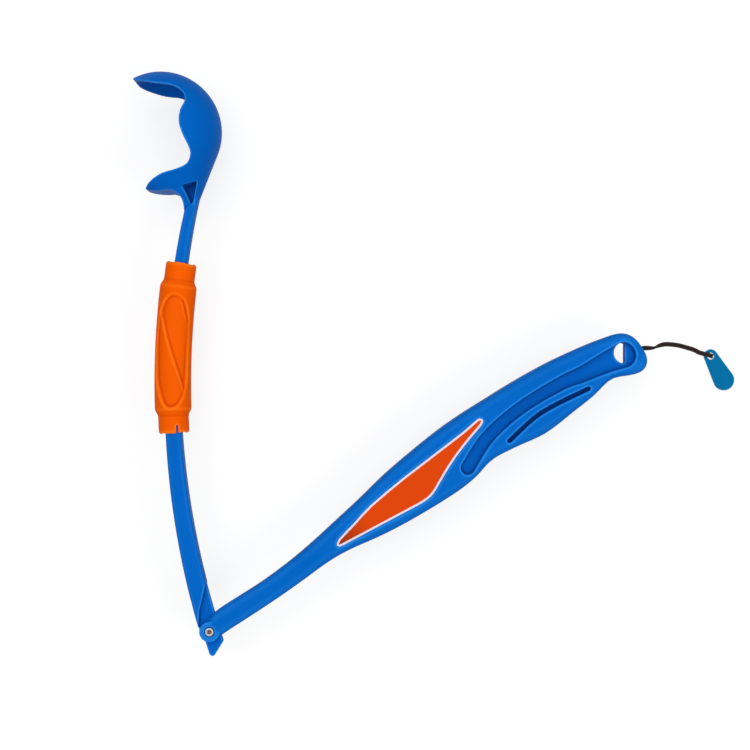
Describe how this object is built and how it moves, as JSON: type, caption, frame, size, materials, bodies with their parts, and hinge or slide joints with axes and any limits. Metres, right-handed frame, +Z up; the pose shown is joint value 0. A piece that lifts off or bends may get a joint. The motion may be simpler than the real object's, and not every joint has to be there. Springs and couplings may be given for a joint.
{
  "type": "folding ball launcher",
  "caption": "Folding ball launcher for dogs: a contoured grip hinged to a bowed arm with an open ball cup, and a fluted sleeve that slides on the arm",
  "frame": {"origin": "middle of the launcher's outline in plan, without the lanyard, at the level of the cup's lowest edge", "axes": "the launcher lies on its side as pictured: +Z up along the hinge axis, +X and +Y to the right and up in the picture"},
  "size_m": [0.3608, 0.3441, 0.0651],
  "materials": {
    "grip_plastic": "satin moulded",
    "arm_plastic": "satin moulded",
    "sleeve_plastic": "satin moulded",
    "label_film": "printed film",
    "steel": "plated",
    "cord": "braided",
    "tag_plastic": "moulded"
  },
  "bodies": {
    "handle": {"handle": "grip_plastic", "label": "label_film", "pivot_bush": "steel", "pivot_screw": "steel", "pivot_nut": "steel", "lanyard_cord": "cord", "lanyard_knot": "cord", "lanyard_tag": "tag_plastic"},
    "arm": {"ball_arm": "arm_plastic"},
    "sleeve": {"lock_sleeve": "sleeve_plastic"}
  },
  "joints": [
    {"name": "fold", "type": "hinge", "parent": "handle", "child": "arm", "pos_m": [-0.10579, -0.15655, 0.03254], "axis": [0, 0, 1], "range_deg": [-43, 105]},
    {"name": "sleeve_slide", "type": "hinge", "parent": "arm", "child": "sleeve", "pos_m": [0.36204, -0.01084, 0.03254], "axis": [0, 0, 1], "range_deg": [-3.4, 6.3]}
  ]
}
